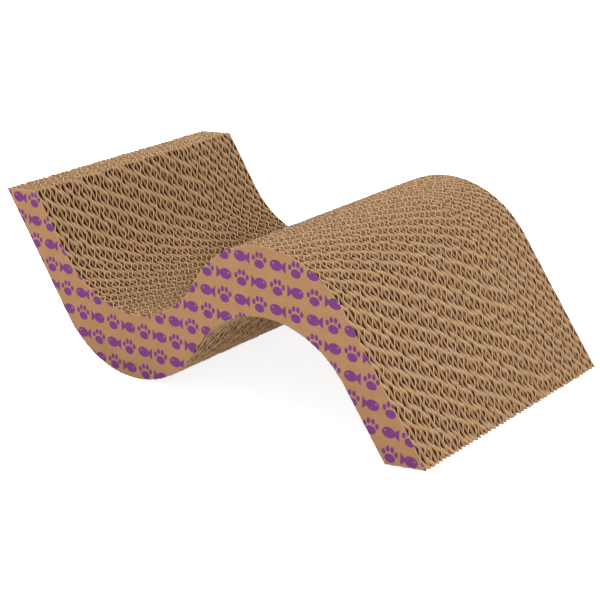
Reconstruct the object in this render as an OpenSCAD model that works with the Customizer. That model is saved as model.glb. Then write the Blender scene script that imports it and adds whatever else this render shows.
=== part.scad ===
/* [Stack] */
// Number of corrugated boards glued side by side across the width
board_count = 48; // [6:1:56]
// Thickness of one corrugated board, over both of its liners
board_t = 5; // [4:0.1:7]

/* [Corrugated board] */
// Thickness of each flat liner sheet
liner_t = 0.3; // [0.2:0.05:0.6]
// Thickness of the fluted sheet between the liners
medium_t = 0.3; // [0.2:0.05:0.5]
// Thickness of the glue line between a crest of the fluted sheet and its liner
glue_t = 0.02; // [0.02:0.01:0.1]
// Length of one flute along the board, from crest to crest
flute_pitch = 9.1; // [7:0.1:14]
// Board, counted from the front, where the drift of the flutes turns back
turn_board = 36; // [1:1:56]

/* [Wave outline] */
// Upright depth of the wave-shaped band that each board is cut to
band_h = 55.5; // [40:0.5:70]
// Radius of the band's middle line round the seat
seat_r = 84; // [75:0.5:100]
// Radius of the band's middle line over the hump
hump_r = 86.5; // [75:0.5:100]
// Slope of the straight run between the seat and the hump, in degrees
mid_slope = 57.5; // [52:0.5:62]
// Length of the straight run between the seat and the hump
mid_run = 8; // [6:1:30]
// Slope of the straight run up to the head, in degrees
head_slope = 56; // [48:1:62]
// Length of the straight run up to the head
head_run = 54.5; // [30:0.5:90]
// Tilt of the cut across the top of the head, in degrees
head_tilt = 6; // [0:1:15]
// Slope of the straight run down to the foot, in degrees
foot_slope = 54; // [48:1:62]
// Tilt of the cut across the bottom of the foot, in degrees
foot_tilt = 9; // [0:1:15]

/* [Hidden] */
$fn = 180;

// How far a cutting solid runs past what it cuts
overrun = 12;
// Steady drift of the flutes from one board to the next, as shares of a flute
drift_share = 0.19;
back_drift_share = 0.345;
// Uneven part of that drift, left by hand stacking
wander_share = 0.09;
// Angle that spreads the uneven part over the boards
wander_angle = 137.5;
// How far crushing has moved the flutes within a board, and the two lengths that this varies over
stray = 1.2;
stray_long = 47;
stray_short = 19;
// Angles from one board to the next that give each board a stray of its own
stray_long_angle = 101;
stray_short_angle = 223;

// How far each arc reaches past the straight runs beside it, so that they cross in a clean edge
bite = 0.02;

// The middle line of the band, drawn with zero halfway up its middle run
seat_end = mid_run / 2 * heading(mid_slope - 180);
hump_start = -seat_end;
seat_c = seat_end + seat_r * heading(90 + mid_slope);
hump_c = hump_start + hump_r * heading(mid_slope - 90);
seat_top = seat_c + seat_r * heading(270 - head_slope);
hump_foot = hump_c + hump_r * heading(90 - foot_slope);
head_mid = seat_top + head_run * heading(180 - head_slope);

// The foot runs on down until its inner corner is level with the bottom of the seat
foot_run = (hump_foot.y - seat_c.y + seat_r) / sin(foot_slope);
foot_mid = hump_foot + foot_run * heading(-foot_slope);

// The band's two edges are the middle line moved straight up and straight down
rise = [0, band_h / 2];
head_inner = head_mid + rise;
head_outer = head_mid - rise + past_cut(head_slope, head_tilt) * heading(180 - head_slope);
foot_inner = foot_mid - rise;
foot_outer = foot_mid + rise + past_cut(foot_slope, foot_tilt) * heading(-foot_slope);
length = foot_outer.x - head_outer.x;

// Where the resting object's centre lies on that drawing
middle = [(foot_outer.x + head_outer.x) / 2, seat_c.y - seat_r - rise.y];

// The fluted sheet fills the space between the liners, up to the glue lines on its crests
cavity = board_t - 2 * (liner_t + glue_t);
half_flute = flute_pitch / 2;
crest_t = medium_t * norm([half_flute, cavity - medium_t]) / half_flute;
half_flutes = ceil(length / flute_pitch) + 2;

stack_w = board_count * board_t;

function heading(angle) = [cos(angle), sin(angle)];

// How much further the long edge of an end runs than the short one, to meet a tilted cut
function past_cut(slope, tilt) = band_h / (sin(slope) + cos(slope) * tan(tilt));

// Where the straight lines on both sides of an arc would meet
function corner(centre, r, from, to) =
    centre + r / cos((to - from) / 2) * heading((from + to) / 2);

// Drift of a board's flutes from those of the front board, as a share of a flute
function drift(board) =
    drift_share * min(board, turn_board)
    - back_drift_share * max(board - turn_board, 0)
    + wander_share * sin(board * wander_angle);

// How far a board's flutes have strayed at a place along it
function strayed(x, board) = stray / 2 * (
    sin(360 * x / stray_long + board * stray_long_angle)
    + sin(360 * x / stray_short + board * stray_short_angle));

// Where a crest stands that would be at x with no stray
function crest_at(x, board) = x - strayed(x - strayed(x, board), board);

// The sharp corner outside a rounding, left over when the arc is taken out of it
module waste(centre, r, from, to) {
    tip = corner(centre, r + overrun, from, to);
    difference() {
        polygon([centre + r * heading(from), tip, centre + r * heading(to)]);
        translate(centre) circle(r + bite);
    }
}

// The wave that every board is die-cut to: head, seat, hump and foot, from left to right
module wave() {
    seat_arc = [270 - head_slope, 270 + mid_slope];
    hump_arc = [90 + mid_slope, 90 - foot_slope];
    translate(-middle) difference() {
        polygon([
            head_inner,
            seat_top + rise,
            seat_end + rise,
            corner(hump_c, hump_r, hump_arc[0], hump_arc[1]) + rise,
            foot_outer,
            foot_inner,
            hump_foot - rise,
            hump_start - rise,
            corner(seat_c, seat_r, seat_arc[0], seat_arc[1]) - rise,
            head_outer
        ]);
        // hollow of the seat and arch under the hump
        translate(seat_c + rise) circle(seat_r + bite);
        translate(hump_c - rise) circle(hump_r + bite);
        // crown of the hump and belly of the seat
        waste(hump_c + rise, hump_r, hump_arc[0], hump_arc[1]);
        waste(seat_c - rise, seat_r, seat_arc[0], seat_arc[1]);
    }
}

// A slab of the wave, upright, with its front face at a given depth
module wave_slab(front, t) {
    translate([0, front + t, 0]) rotate([90, 0, 0]) linear_extrude(t) wave();
}

// A board's fluted sheet in plan: a zigzag strip whose crests meet both liners
module flutes(board) {
    shift = drift(board) - floor(drift(board));
    near_edge = [for (k = [-half_flutes : half_flutes])
        [crest_at((k + 2 * shift) * half_flute, board), k % 2 == 0 ? cavity - crest_t : 0]];
    far_edge = [for (k = [len(near_edge) - 1 : -1 : 0]) near_edge[k] + [0, crest_t]];
    polygon(concat(near_edge, far_edge));
}

// One single-wall corrugated board: two liners with the fluted sheet glued between them
module corrugated_board(board) {
    front = (board - 1) * board_t - stack_w / 2;
    tall = max(head_inner.y, hump_c.y + hump_r + rise.y) - middle.y + 2 * overrun;
    wave_slab(front, liner_t);
    wave_slab(front + board_t - liner_t, liner_t);
    intersection() {
        wave_slab(front + liner_t - overrun, cavity + 2 * overrun);
        translate([0, front + liner_t + glue_t, -overrun]) linear_extrude(tall) flutes(board);
    }
}

module front_board() {
    color([0.74, 0.57, 0.38]) corrugated_board(1);
}

module inner_board(board) {
    color([0.70, 0.56, 0.40]) corrugated_board(board);
}

module back_board() {
    color([0.72, 0.56, 0.38]) corrugated_board(board_count);
}

front_board();
for (i = [2 : board_count - 1])
    inner_board(i);
back_board();
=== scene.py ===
import math

import bpy
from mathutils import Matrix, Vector


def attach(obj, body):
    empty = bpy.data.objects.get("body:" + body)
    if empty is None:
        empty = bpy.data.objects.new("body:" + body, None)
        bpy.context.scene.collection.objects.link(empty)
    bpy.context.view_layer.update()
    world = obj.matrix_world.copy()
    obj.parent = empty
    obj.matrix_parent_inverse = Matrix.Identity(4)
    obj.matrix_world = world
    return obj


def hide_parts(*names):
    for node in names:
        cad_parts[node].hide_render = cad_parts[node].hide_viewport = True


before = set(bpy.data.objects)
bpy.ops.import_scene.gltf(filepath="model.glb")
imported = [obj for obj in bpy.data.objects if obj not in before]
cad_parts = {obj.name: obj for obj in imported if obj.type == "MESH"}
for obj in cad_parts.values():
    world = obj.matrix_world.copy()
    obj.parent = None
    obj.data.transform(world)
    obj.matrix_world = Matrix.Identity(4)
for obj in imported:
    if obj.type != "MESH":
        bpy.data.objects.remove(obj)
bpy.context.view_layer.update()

# Camera. It stands off the front corner of the foot and a little above the scratcher, as the
# photographer did, with a long lens, and it is level from side to side.
camera_place = (0.77706, -0.96552, 0.51384)
camera_down = 20.549
camera_left = 38.747
camera_lens = 96.22
sensor = 36.0
nearest_seen = 0.05
furthest_seen = 60

scene = bpy.context.scene
camera_data = bpy.data.cameras.new("camera")
camera_data.sensor_width = sensor
camera_data.lens = camera_lens
camera_data.clip_start = nearest_seen
camera_data.clip_end = furthest_seen
camera = bpy.data.objects.new("camera", camera_data)
camera.location = camera_place
camera.rotation_euler = (math.radians(90 - camera_down), 0, math.radians(camera_left))
scene.collection.objects.link(camera)
scene.camera = camera

# Studio. A white sweep under even light from all round. Lamps at both sides leave the inside of
# the flutes dark, a low one in front reaches under the hump, and a high one behind lights the
# tops. A lamp's row is its name, place, width and watts.
room_level = 0.5
lamp_rows = (
    ("right lamp", (2.2, 0.2, 1.2), 0.5, 19),
    ("left lamp", (-2.1, -0.5, 1.2), 0.6, 22),
    ("low lamp", (1.4, -1.8, 0.6), 0.4, 17),
    ("back lamp", (-1.2, 1.2, 1.9), 0.8, 60),
)
floor_half = 14.0
floor_paint = (0.8, 0.8, 0.8, 1)
floor_glow = 0.8

scene.view_settings.view_transform = "Standard"
world = bpy.data.worlds.new("studio")
world.use_nodes = True
scene.world = world


def calc(tree, operation, *values):
    """One sum in a node tree. A value is a number or another node's output."""
    node = tree.nodes.new("ShaderNodeMath")
    node.operation = operation
    for socket, value in zip(node.inputs, values):
        if isinstance(value, bpy.types.NodeSocket):
            tree.links.new(value, socket)
        else:
            socket.default_value = value
    return node.outputs[0]


def seen_directly(tree):
    """1 where the camera looks at it, straight or by a reflection, and 0 where it only lights."""
    path = tree.nodes.new("ShaderNodeLightPath")
    looked_at = calc(tree, "MAXIMUM", path.outputs["Is Camera Ray"],
                     path.outputs["Is Glossy Ray"])
    return calc(tree, "MAXIMUM", looked_at, path.outputs["Is Transmission Ray"])


background = world.node_tree.nodes["Background"]
background.inputs["Color"].default_value = (1, 1, 1, 1)
shown = calc(world.node_tree, "MULTIPLY", seen_directly(world.node_tree), 1 - room_level)
level = calc(world.node_tree, "ADD", shown, room_level)
world.node_tree.links.new(level, background.inputs["Strength"])

for lamp_name, place, size, power in lamp_rows:
    lamp_data = bpy.data.lights.new(lamp_name, "AREA")
    lamp_data.size = size
    lamp_data.energy = power
    lamp = bpy.data.objects.new(lamp_name, lamp_data)
    lamp.location = place
    lamp.rotation_euler = (-Vector(place)).to_track_quat("-Z", "Y").to_euler()
    scene.collection.objects.link(lamp)

floor_mesh = bpy.data.meshes.new("studio_floor")
corners = [(-floor_half, -floor_half, 0), (floor_half, -floor_half, 0),
           (floor_half, floor_half, 0), (-floor_half, floor_half, 0)]
floor_mesh.from_pydata(corners, [], [(0, 1, 2, 3)])
floor = bpy.data.objects.new("studio_floor", floor_mesh)
scene.collection.objects.link(floor)
paint = bpy.data.materials.new("white sweep")
paint.use_nodes = True
tree = paint.node_tree
tree.nodes.clear()
matt = tree.nodes.new("ShaderNodeBsdfDiffuse")
matt.inputs["Color"].default_value = floor_paint
glow = tree.nodes.new("ShaderNodeEmission")
tree.links.new(calc(tree, "MULTIPLY", seen_directly(tree), floor_glow), glow.inputs["Strength"])
both = tree.nodes.new("ShaderNodeAddShader")
tree.links.new(matt.outputs[0], both.inputs[0])
tree.links.new(glow.outputs[0], both.inputs[1])
side = tree.nodes.new("ShaderNodeNewGeometry")
clear = tree.nodes.new("ShaderNodeBsdfTransparent")
one_sided = tree.nodes.new("ShaderNodeMixShader")
tree.links.new(side.outputs["Backfacing"], one_sided.inputs["Fac"])
tree.links.new(both.outputs[0], one_sided.inputs[1])
tree.links.new(clear.outputs[0], one_sided.inputs[2])
surface = tree.nodes.new("ShaderNodeOutputMaterial")
tree.links.new(one_sided.outputs[0], surface.inputs["Surface"])
floor_mesh.materials.append(paint)

# Wave outline. Every board is die-cut to one S-shaped band: a straight run up to the head, the
# round seat, a short straight, the round hump and a straight run to the foot. The band is as
# deep everywhere, measured upright, and the cuts across its two ends are tilted a little.
band_height = 0.0555
seat_radius = 0.084
hump_radius = 0.0865
mid_slope = 57.5
mid_run = 0.008
head_slope = 56
head_run = 0.0545
head_tilt = 6
foot_slope = 54
foot_tilt = 9


def heading(angle):
    """Direction at an angle in degrees, on the drawing."""
    return Vector((math.cos(math.radians(angle)), math.sin(math.radians(angle))))


def slope_of(angle):
    """Rise for each unit along, at an angle in degrees."""
    return math.tan(math.radians(angle))


def past_cut(slope, tilt):
    """How much further the long edge of an end runs than the short one, to meet a tilted cut."""
    lean = math.radians(slope)
    return band_height / (math.sin(lean) + math.cos(lean) * slope_of(tilt))


seat_end = mid_run / 2 * heading(mid_slope - 180)
hump_start = -seat_end
seat_centre = seat_end + seat_radius * heading(90 + mid_slope)
hump_centre = hump_start + hump_radius * heading(mid_slope - 90)
seat_top = seat_centre + seat_radius * heading(270 - head_slope)
hump_foot = hump_centre + hump_radius * heading(90 - foot_slope)
head_middle = seat_top + head_run * heading(180 - head_slope)
foot_run = (hump_foot.y - seat_centre.y + seat_radius) / math.sin(math.radians(foot_slope))
foot_middle = hump_foot + foot_run * heading(-foot_slope)
rise = Vector((0, band_height / 2))
head_inner = head_middle + rise
head_outer = head_middle - rise + past_cut(head_slope, head_tilt) * heading(180 - head_slope)
foot_inner = foot_middle - rise
foot_outer = foot_middle + rise + past_cut(foot_slope, foot_tilt) * heading(-foot_slope)
wave_length = foot_outer.x - head_outer.x
origin = Vector(((foot_outer.x + head_outer.x) / 2, seat_centre.y - seat_radius - rise.y))


def either(tree, test, no, yes):
    """One of two numbers, picked by a test that is 0 or 1."""
    node = tree.nodes.new("GeometryNodeSwitch")
    node.input_type = "FLOAT"
    for socket, value in zip(node.inputs, (test, no, yes)):
        tree.links.new(value, socket)
    return node.outputs[0]


def straight(tree, x, through, slope):
    """Height at x of a straight run through a point."""
    return calc(tree, "MULTIPLY_ADD", calc(tree, "SUBTRACT", x, through.x - origin.x), slope,
                through.y - origin.y)


def arc(tree, x, centre, radius, side):
    """Height at x of an arc round a centre, under it (-1) or over it (1)."""
    across = calc(tree, "SUBTRACT", x, centre.x - origin.x)
    square = calc(tree, "SUBTRACT", radius ** 2, calc(tree, "MULTIPLY", across, across))
    root = calc(tree, "SQRT", calc(tree, "MAXIMUM", square, 0))
    return calc(tree, "MULTIPLY_ADD", root, side, centre.y - origin.y)


wave = bpy.data.node_groups.new("wave outline", "GeometryNodeTree")
wave.interface.new_socket("Along", in_out="INPUT", socket_type="NodeSocketFloat")
wave.interface.new_socket("Lower Edge", in_out="OUTPUT", socket_type="NodeSocketFloat")
wave.interface.new_socket("Upper Edge", in_out="OUTPUT", socket_type="NodeSocketFloat")
place_along = wave.nodes.new("NodeGroupInput").outputs["Along"]
height = straight(wave, place_along, head_middle, -slope_of(head_slope))
for start, part in (
    (seat_top, arc(wave, place_along, seat_centre, seat_radius, -1)),
    (seat_end, straight(wave, place_along, seat_end, slope_of(mid_slope))),
    (hump_start, arc(wave, place_along, hump_centre, hump_radius, 1)),
    (hump_foot, straight(wave, place_along, hump_foot, -slope_of(foot_slope))),
):
    begun = calc(wave, "GREATER_THAN", place_along, start.x - origin.x)
    height = either(wave, begun, height, part)
head_cut = straight(wave, place_along, head_inner, slope_of(head_tilt))
foot_cut = straight(wave, place_along, foot_inner, slope_of(foot_tilt))
edges = wave.nodes.new("NodeGroupOutput")
wave.links.new(calc(wave, "MAXIMUM", calc(wave, "SUBTRACT", height, rise.y), foot_cut),
               edges.inputs["Lower Edge"])
wave.links.new(calc(wave, "MINIMUM", calc(wave, "ADD", height, rise.y), head_cut),
               edges.inputs["Upper Edge"])

# Corrugated board. Two flat kraft liners with a fluted kraft sheet glued between them by its
# crests, the flutes upright. The die frays every edge that it cuts and crushes the fluted
# sheet's to a lip, and in gluing the boards bow a little and slip along each other.
board_count = 48
board_thickness = 0.005
paper_thickness = 0.0003
papers_beside_wave = 3.2
flute_length = 0.0091
crest_flatness = -0.05
samples_per_flute = 12
rows_of_sheet = 8
columns_of_liner = 285
rows_of_liner = 4
end_gap = 0.0003

# fraying and crushing at the cut, less where the board runs out to a thin end
fray = 0.0005
fray_spacing = 0.0016
front_fray_key = 11
flute_fray_key = 23
back_fray_key = 37
thin_end = 0.006
lip = 0.0005
cut_sharpness = 24

# stray, bow and slip. The waves of the stray are a length and a turn from board to board.
stray = 0.0012
stray_waves = ((0.047, 101), (0.019, 223))
bow = 0.0003
bow_spacing = 0.03
bow_key = 3
bow_flatness = 12
slip = 0.0006
slip_turn = 211

# drift of the flutes from board to board, in flutes, which turns back past one board
steady_drift = 0.19
turning_board = 36
back_drift = 0.345
uneven_drift = 0.09
uneven_turn = 137.5

# depth below the cut, counted faster from the underside, which gets less light, so that the
# painted shade
#  in the flutes comes sooner there, and the least bend, in radians, that the shading keeps as a
#  corner
underside_gloom = 2.2
edge_step = 0.001
corner_bend = 0.7

board = bpy.data.node_groups.new("corrugated board", "GeometryNodeTree")
for name, kind, value in (
    ("Front", "Float", 0.0),
    ("Board Thickness", "Float", board_thickness),
    ("Paper Thickness", "Float", paper_thickness),
    ("Flute Length", "Float", flute_length),
    ("Flute Shift", "Float", 0.0),
    ("Samples per Flute", "Int", samples_per_flute),
    ("Fray", "Float", fray),
    ("Lip", "Float", lip),
    ("Stray", "Float", stray),
    ("Bow", "Float", bow),
    ("Slip", "Float", 0.0),
    ("Number", "Int", 1),
    ("Front Liner", "Material", None),
    ("Paper", "Material", None),
):
    socket = board.interface.new_socket(name, in_out="INPUT", socket_type="NodeSocket" + kind)
    if value is not None:
        socket.default_value = value
board.interface.new_socket("Geometry", in_out="OUTPUT", socket_type="NodeSocketGeometry")
asked = board.nodes.new("NodeGroupInput").outputs


def add(tree, kind, **inputs):
    """A node with its inputs, given by their names with spaces as underscores."""
    node = tree.nodes.new(kind)
    for name, value in inputs.items():
        socket = node.inputs[name.replace("_", " ")]
        if isinstance(value, bpy.types.NodeSocket):
            tree.links.new(value, socket)
        else:
            socket.default_value = value
    return node


def unevenness(tree, place, spacing, key):
    """A smooth random number, mostly from -1 to 1, that changes over about that spacing."""
    node = add(tree, "ShaderNodeTexNoise", Vector=place, Scale=1 / spacing, Detail=1)
    node.noise_dimensions = "4D"
    node.inputs["W"].default_value = key
    spread = 4
    return calc(tree, "MULTIPLY_ADD", node.outputs[0], spread, -spread / 2)


def edges_at(tree, x):
    """Heights of the wave's lower and upper edge at a place along the board."""
    group = add(tree, "GeometryNodeGroup")
    group.node_tree = wave
    tree.links.new(x, group.inputs["Along"])
    return group.outputs["Lower Edge"], group.outputs["Upper Edge"]


def levelness(tree, before, after):
    """1 where an edge of the wave runs level and less where it is steep, from its heights
    a step before and a step after the place."""
    slope = calc(tree, "DIVIDE", calc(tree, "SUBTRACT", after, before), 2 * edge_step)
    return calc(tree, "POWER", calc(tree, "MULTIPLY_ADD", slope, slope, 1), -0.5)


def depth_below_cut(tree, x, upright, low, high):
    """Depth below the nearer edge, square to it, from a height that goes from 0 to 1. From the
    lower edge it is counted faster, so that the painted shade in the flutes comes sooner there.
    """
    low_before, high_before = edges_at(tree, calc(tree, "SUBTRACT", x, edge_step))
    low_after, high_after = edges_at(tree, calc(tree, "ADD", x, edge_step))
    below = calc(tree, "MULTIPLY", calc(tree, "MULTIPLY", upright, underside_gloom),
                 levelness(tree, low_before, low_after))
    above = calc(tree, "MULTIPLY", calc(tree, "SUBTRACT", 1, upright),
                 levelness(tree, high_before, high_after))
    return calc(tree, "MULTIPLY", calc(tree, "MINIMUM", below, above),
                calc(tree, "SUBTRACT", high, low))


def cut_sheet(tree, columns, rows, profile, material, fray_key, flare=0.0):
    """A sheet of paper cut to the wave. profile gives its middle line across the board and
    the direction of its thickness from the distance along the board."""
    block = add(tree, "GeometryNodeMeshCube", Size=(1, 1, 1), Vertices_X=columns, Vertices_Y=2,
                Vertices_Z=rows)
    position = tree.nodes.new("GeometryNodeInputPosition").outputs[0]
    grid = add(tree, "ShaderNodeSeparateXYZ", Vector=position)

    # rows of points crowd towards both cuts, where the sheet frays and flares
    up = calc(tree, "SINE", calc(tree, "MULTIPLY", grid.outputs["Z"], math.pi))
    upright = calc(tree, "MULTIPLY_ADD", up, 0.5, 0.5)
    near_cut = calc(tree, "POWER", calc(tree, "ABSOLUTE", up), cut_sharpness)
    thickness = calc(tree, "MULTIPLY_ADD", near_cut, flare, asked["Paper Thickness"])

    # the flat sheet takes its profile and then its outline
    along = calc(tree, "MULTIPLY", grid.outputs["X"], wave_length - 2 * end_gap)
    through = calc(tree, "MULTIPLY", grid.outputs["Y"], thickness)
    across, turn_x, turn_y = profile(along)
    x = calc(tree, "MULTIPLY_ADD", through, turn_x, along)
    y = calc(tree, "MULTIPLY_ADD", through, turn_y, across)
    low, high = edges_at(tree, x)
    tall = calc(tree, "SUBTRACT", high, low)
    level = calc(tree, "MULTIPLY_ADD", upright, tall, low)
    flat = add(tree, "ShaderNodeCombineXYZ", X=x, Y=y, Z=level).outputs[0]

    # frayed edges, then the bow, which leaves the block's two outer faces flat, and the slip
    room = calc(tree, "MINIMUM", calc(tree, "DIVIDE", tall, thin_end), 1)
    ragged = calc(tree, "MULTIPLY", calc(tree, "MULTIPLY", asked["Fray"], room),
                  calc(tree, "MULTIPLY", near_cut,
                       unevenness(tree, flat, fray_spacing, fray_key)))
    z = calc(tree, "MAXIMUM", calc(tree, "ADD", level, ragged), 0)
    from_middle = calc(tree, "ABSOLUTE",
                       calc(tree, "DIVIDE", y, board_count * board_thickness / 2))
    fade = calc(tree, "SUBTRACT", 1, calc(tree, "POWER", from_middle, bow_flatness))
    bowed = calc(tree, "MULTIPLY", calc(tree, "MULTIPLY", asked["Bow"], fade),
                 unevenness(tree, flat, bow_spacing, bow_key))
    placed = add(tree, "ShaderNodeCombineXYZ", X=calc(tree, "ADD", x, asked["Slip"]),
                 Y=calc(tree, "ADD", y, bowed), Z=z)

    # the depth below the cut drives the painted shade in the flutes and the paler torn fibres,
    # and only sharp corners keep an edge in the shading
    marked = tree.nodes.new("GeometryNodeStoreNamedAttribute")
    marked.data_type = "FLOAT"
    marked.domain = "POINT"
    marked.inputs["Name"].default_value = "depth"
    tree.links.new(block.outputs["Mesh"], marked.inputs["Geometry"])
    tree.links.new(depth_below_cut(tree, x, upright, low, high), marked.inputs["Value"])
    shaped = add(tree, "GeometryNodeSetPosition", Geometry=marked.outputs[0],
                 Position=placed.outputs[0])
    bend = tree.nodes.new("GeometryNodeInputMeshEdgeAngle").outputs["Unsigned Angle"]
    soft = tree.nodes.new("GeometryNodeSetShadeSmooth")
    soft.domain = "EDGE"
    tree.links.new(shaped.outputs[0], soft.inputs["Geometry"])
    tree.links.new(calc(tree, "LESS_THAN", bend, corner_bend), soft.inputs["Shade Smooth"])
    coated = add(tree, "GeometryNodeSetMaterial", Geometry=soft.outputs[0], Material=material)
    return coated.outputs[0]


def flat_liner(front_share):
    """Profile of a liner, at the board's front (0) or back (1)."""
    spare = calc(board, "SUBTRACT", asked["Board Thickness"], asked["Paper Thickness"])
    middle = calc(board, "MULTIPLY_ADD", spare, front_share,
                  calc(board, "MULTIPLY_ADD", asked["Paper Thickness"], 0.5, asked["Front"]))
    return lambda along: (middle, 0.0, 1.0)


def fluted(along):
    """Profile of the fluted sheet: a wave from liner to liner, which strays a little along the
    board, differently in each board. A third overtone shapes the crests."""
    strayed = 0.0
    for length, step in stray_waves:
        phase = calc(board, "MULTIPLY_ADD", along, 2 * math.pi / length,
                     calc(board, "MULTIPLY", asked["Number"], math.radians(step)))
        strayed = calc(board, "MULTIPLY_ADD", calc(board, "SINE", phase), 0.5, strayed)
    moved = calc(board, "MULTIPLY_ADD", strayed, asked["Stray"], along)
    crest = calc(board, "SUBTRACT", calc(board, "DIVIDE", moved, asked["Flute Length"]),
                 asked["Flute Shift"])
    turn = calc(board, "MULTIPLY", crest, 2 * math.pi)
    thrice = calc(board, "MULTIPLY", turn, 3)
    spare = calc(board, "SUBTRACT", asked["Board Thickness"],
                 calc(board, "MULTIPLY", asked["Paper Thickness"], papers_beside_wave))
    swing = calc(board, "DIVIDE", calc(board, "MULTIPLY", spare, 0.5), 1 - crest_flatness)
    middle = calc(board, "MULTIPLY_ADD", asked["Board Thickness"], 0.5, asked["Front"])
    crests = calc(board, "MULTIPLY_ADD", calc(board, "COSINE", thrice), -crest_flatness,
                  calc(board, "COSINE", turn))
    across = calc(board, "MULTIPLY_ADD", swing, crests, middle)
    slants = calc(board, "MULTIPLY_ADD", calc(board, "SINE", thrice), -3 * crest_flatness,
                  calc(board, "SINE", turn))
    steepest = calc(board, "DIVIDE", calc(board, "MULTIPLY", swing, 2 * math.pi),
                    asked["Flute Length"])
    steep = calc(board, "MULTIPLY", slants, steepest)
    size = calc(board, "SQRT", calc(board, "MULTIPLY_ADD", steep, steep, 1))
    return across, calc(board, "DIVIDE", steep, size), calc(board, "DIVIDE", 1, size)


flutes_along = calc(board, "DIVIDE", wave_length, asked["Flute Length"])
columns = calc(board, "CEIL", calc(board, "MULTIPLY", flutes_along, asked["Samples per Flute"]))
joined = board.nodes.new("GeometryNodeJoinGeometry")
for sheet in (
    cut_sheet(board, columns_of_liner, rows_of_liner, flat_liner(0), asked["Front Liner"],
              front_fray_key),
    cut_sheet(board, columns, rows_of_sheet, fluted, asked["Paper"], flute_fray_key,
              asked["Lip"]),
    cut_sheet(board, columns_of_liner, rows_of_liner, flat_liner(1), asked["Paper"],
              back_fray_key),
):
    board.links.new(sheet, joined.inputs[0])
real = add(board, "GeometryNodeRealizeInstances", Geometry=joined.outputs[0])
board.links.new(real.outputs[0], board.nodes.new("NodeGroupOutput").inputs["Geometry"])


def drift(number):
    """How far a board's flutes have moved from those of the front board, in flutes."""
    return (steady_drift * min(number, turning_board)
            - back_drift * max(number - turning_board, 0)
            + uneven_drift * math.sin(math.radians(number * uneven_turn)))


def make_board(name, number, front_liner, paper, node):
    """Makes one board of the stack as a plain mesh in its place."""
    start = bpy.data.objects.new(name, bpy.data.meshes.new(name))
    scene.collection.objects.link(start)
    maker = start.modifiers.new("board", "NODES")
    maker.node_group = board
    wanted = {
        "Front": (number - 1 - board_count / 2) * board_thickness,
        "Flute Shift": drift(number) % 1,
        "Slip": slip * math.sin(math.radians(number * slip_turn)),
        "Number": number,
        "Front Liner": front_liner,
        "Paper": paper,
    }
    for item in board.interface.items_tree:
        if item.in_out == "INPUT" and item.name in wanted:
            maker[item.identifier] = wanted[item.name]
    shaped = start.evaluated_get(bpy.context.evaluated_depsgraph_get())
    made = bpy.data.meshes.new_from_object(shaped)
    start.modifiers.remove(maker)
    # the tree leaves an empty slot in front of the papers
    if made.materials[0] is None:
        made.materials.pop(index=0)
    start.data = made
    made.name = name
    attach(start, "root")
    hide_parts(node)


# Inner boards. Forty-six plain kraft boards, glued face to face in a block behind the printed
# one. Their cut edges, all flute ends, are the surface that the cat scratches.
light_kraft = (203, 164, 122)
dark_kraft = (185, 147, 106)
torn_fibres = (188, 154, 118)
# painted shade: the brown that the flute walls darken to deep below the cut, in place of the
# shadow inside the flutes, and the depths over which it comes in
painted_flute_shade = (92, 43, 13)
fuzz_depths = (0.0002, 0.0009)
painted_shade_depths = (0.0007, 0.0019)
face_margin = 0.0001
outer_face = board_count * board_thickness / 2 - face_margin
paper_roughness = 0.88
paper_shine = 0.05
fuzz_sheen = 0.1
sheen_roughness = 0.35
sheen_tint = (255, 240, 225)
cloud_scale = 90
fibre_scale = 2600
fibre_stretch = (1, 1, 0.16)
fibre_share = 0.6
cloud_share = 1.5
cloud_start = -0.55
fibre_height = 0.0001
fibre_strength = 0.25


def colour(red, green, blue):
    """A colour as a paint card gives it, 0 to 255, made ready for a shader."""
    def straighten(value):
        share = value / 255
        return share / 12.92 if share <= 0.04045 else ((share + 0.055) / 1.055) ** 2.4

    return (straighten(red), straighten(green), straighten(blue), 1)


def mixed(tree, share, first, second):
    """Blend of two colours. A colour is a shader colour or another node's output."""
    node = tree.nodes.new("ShaderNodeMix")
    node.data_type = "RGBA"
    tree.links.new(share, node.inputs["Factor"])
    for socket, value in ((node.inputs["A"], first), (node.inputs["B"], second)):
        if isinstance(value, bpy.types.NodeSocket):
            tree.links.new(value, socket)
        else:
            socket.default_value = value
    return node.outputs["Result"]


def over_depth(tree, start, end):
    """0 down to one depth below the cut and 1 past the other, from the attribute that the
    corrugated board stores."""
    depth = tree.nodes.new("ShaderNodeAttribute")
    depth.attribute_name = "depth"
    ramp = tree.nodes.new("ShaderNodeMapRange")
    ramp.interpolation_type = "SMOOTHSTEP"
    tree.links.new(depth.outputs["Fac"], ramp.inputs["Value"])
    ramp.inputs["From Min"].default_value = start
    ramp.inputs["From Max"].default_value = end
    return ramp.outputs["Result"]


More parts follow.
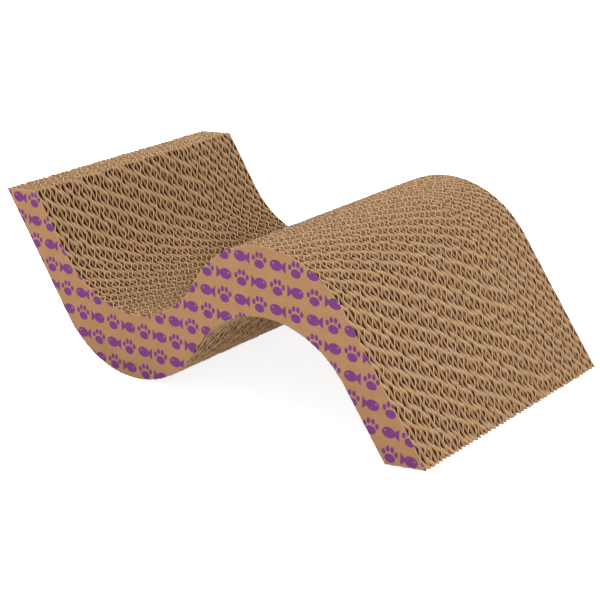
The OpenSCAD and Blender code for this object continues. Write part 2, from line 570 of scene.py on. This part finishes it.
def kraft_paper(name, light, dark):
    """Unbleached kraft: cloudy, with fine fibres. The torn fibres at a cut are paler, and inside
    the flutes, but not on the block's two outer faces, shade is painted into the colour, a darker
    brown deeper below the cut."""
    material = bpy.data.materials.new(name)
    material.use_nodes = True
    tree = material.node_tree
    paper = tree.nodes["Principled BSDF"]
    paper.inputs["Roughness"].default_value = paper_roughness
    paper.inputs["Specular IOR Level"].default_value = paper_shine
    paper.inputs["Sheen Weight"].default_value = fuzz_sheen
    paper.inputs["Sheen Roughness"].default_value = sheen_roughness
    paper.inputs["Sheen Tint"].default_value = colour(*sheen_tint)
    place = tree.nodes.new("ShaderNodeTexCoord").outputs["Object"]
    cloud = add(tree, "ShaderNodeTexNoise", Vector=place, Scale=cloud_scale, Detail=4,
                Roughness=0.6)
    stretch = add(tree, "ShaderNodeMapping", Vector=place, Scale=fibre_stretch)
    fibre = add(tree, "ShaderNodeTexNoise", Vector=stretch.outputs[0], Scale=fibre_scale,
                Detail=3, Roughness=0.7)
    blend = calc(tree, "MULTIPLY_ADD", fibre.outputs[0], fibre_share,
                 calc(tree, "MULTIPLY_ADD", cloud.outputs[0], cloud_share, cloud_start))
    shade = mixed(tree, blend, colour(*dark), colour(*light))
    shade = mixed(tree, over_depth(tree, *fuzz_depths), colour(*torn_fibres), shade)
    across = add(tree, "ShaderNodeSeparateXYZ", Vector=place).outputs["Y"]
    within = calc(tree, "LESS_THAN", calc(tree, "ABSOLUTE", across), outer_face)
    # painted shade: browner deeper inside the flutes, kept off the block's two outer faces
    painted_shade_share = calc(tree, "MULTIPLY", over_depth(tree, *painted_shade_depths), within)
    shade = mixed(tree, painted_shade_share, shade, colour(*painted_flute_shade))
    tree.links.new(shade, paper.inputs["Base Color"])
    rough = add(tree, "ShaderNodeBump", Strength=fibre_strength, Distance=fibre_height,
                Height=fibre.outputs[0])
    tree.links.new(rough.outputs[0], paper.inputs["Normal"])
    return material


kraft = kraft_paper("kraft paper", light_kraft, dark_kraft)
for number in range(2, board_count):
    make_board(f"plain_board_{number:02d}", number, kraft, kraft,
               f"inner_board_{number:02d}")

# Front board. The same board, but its outer liner is printed in one purple ink before cutting,
# so the outline cuts through the figures at the edges. Fish and paws take turns in rows. They
# are drawn in shares of the print's pitch, each spot as its middle and its half sizes.
print_pitch = 0.0172
fish_body = ((0.08, 0.0), (0.34, 0.25))
fish_eye = ((0.25, 0.07), (0.04, 0.04))
tail_end = -0.46
tail_root = -0.14
tail_flare = 0.9
paw_pad = ((0.0, -0.15), (0.27, 0.2))
paw_toes = (
    ((-0.32, 0.09), (0.095, 0.13)),
    ((-0.115, 0.26), (0.095, 0.135)),
    ((0.115, 0.26), (0.095, 0.135)),
    ((0.32, 0.09), (0.095, 0.13)),
)
ink = (117, 57, 126)
ink_patch_scale = 1500
ink_patches = 0.3
ink_cover = 0.8
light_liner = (180, 138, 99)
dark_liner = (168, 125, 87)


def spot(tree, a, b, shape):
    """1 inside an ellipse given by its middle and half sizes."""
    (middle_a, middle_b), (half_a, half_b) = shape
    a = calc(tree, "DIVIDE", calc(tree, "SUBTRACT", a, middle_a), half_a)
    b = calc(tree, "DIVIDE", calc(tree, "SUBTRACT", b, middle_b), half_b)
    square = calc(tree, "MULTIPLY_ADD", a, a, calc(tree, "MULTIPLY", b, b))
    return calc(tree, "LESS_THAN", square, 1)


def printed_figures(tree, x, z):
    """1 in the ink of a figure, from the place on the board's face."""
    u = calc(tree, "DIVIDE", x, print_pitch)
    v = calc(tree, "DIVIDE", z, print_pitch)
    column = calc(tree, "FLOOR", u)
    row = calc(tree, "FLOOR", v)
    facing = calc(tree, "MULTIPLY_ADD", calc(tree, "FLOORED_MODULO", row, 2), -2, 1)
    from_left = calc(tree, "SUBTRACT", calc(tree, "SUBTRACT", u, column), 0.5)
    a = calc(tree, "MULTIPLY", from_left, facing)
    b = calc(tree, "SUBTRACT", calc(tree, "SUBTRACT", v, row), 0.5)
    flare = calc(tree, "MULTIPLY", calc(tree, "SUBTRACT", tail_root, a), tail_flare)
    tail = calc(tree, "MULTIPLY", calc(tree, "LESS_THAN", calc(tree, "ABSOLUTE", b), flare),
                calc(tree, "GREATER_THAN", a, tail_end))
    fish = calc(tree, "SUBTRACT", calc(tree, "MAXIMUM", spot(tree, a, b, fish_body), tail),
                spot(tree, a, b, fish_eye))
    paw = spot(tree, a, b, paw_pad)
    for toe in paw_toes:
        paw = calc(tree, "MAXIMUM", paw, spot(tree, a, b, toe))
    turn = calc(tree, "FLOORED_MODULO", calc(tree, "ADD", column, row), 2)
    first = calc(tree, "MULTIPLY", fish, turn)
    return calc(tree, "MULTIPLY_ADD", paw, calc(tree, "SUBTRACT", 1, turn), first)


liner = kraft_paper("printed liner", light_liner, dark_liner)
tree = liner.node_tree
paper = tree.nodes["Principled BSDF"]
plain = paper.inputs["Base Color"].links[0].from_socket
place = tree.nodes.new("ShaderNodeTexCoord").outputs["Object"]
apart = add(tree, "ShaderNodeSeparateXYZ", Vector=place)
on_face = calc(tree, "LESS_THAN", apart.outputs["Y"], -outer_face)
figures = calc(tree, "MULTIPLY", on_face,
               printed_figures(tree, apart.outputs["X"], apart.outputs["Z"]))
patchy = add(tree, "ShaderNodeTexNoise", Vector=place, Scale=ink_patch_scale, Detail=2)
cover = calc(tree, "MULTIPLY", figures,
             calc(tree, "MULTIPLY_ADD", patchy.outputs[0], ink_patches, ink_cover))
printed = mixed(tree, calc(tree, "MINIMUM", cover, 1), plain, colour(*ink))
tree.links.new(printed, paper.inputs["Base Color"])
make_board("printed_board", 1, liner, kraft, "front_board")

# Back board. A plain board like the inner ones closes the stack behind. Only its inner face is
# glued, and its outer one is bare kraft.
make_board("plain_back_board", board_count, kraft, kraft, "back_board")
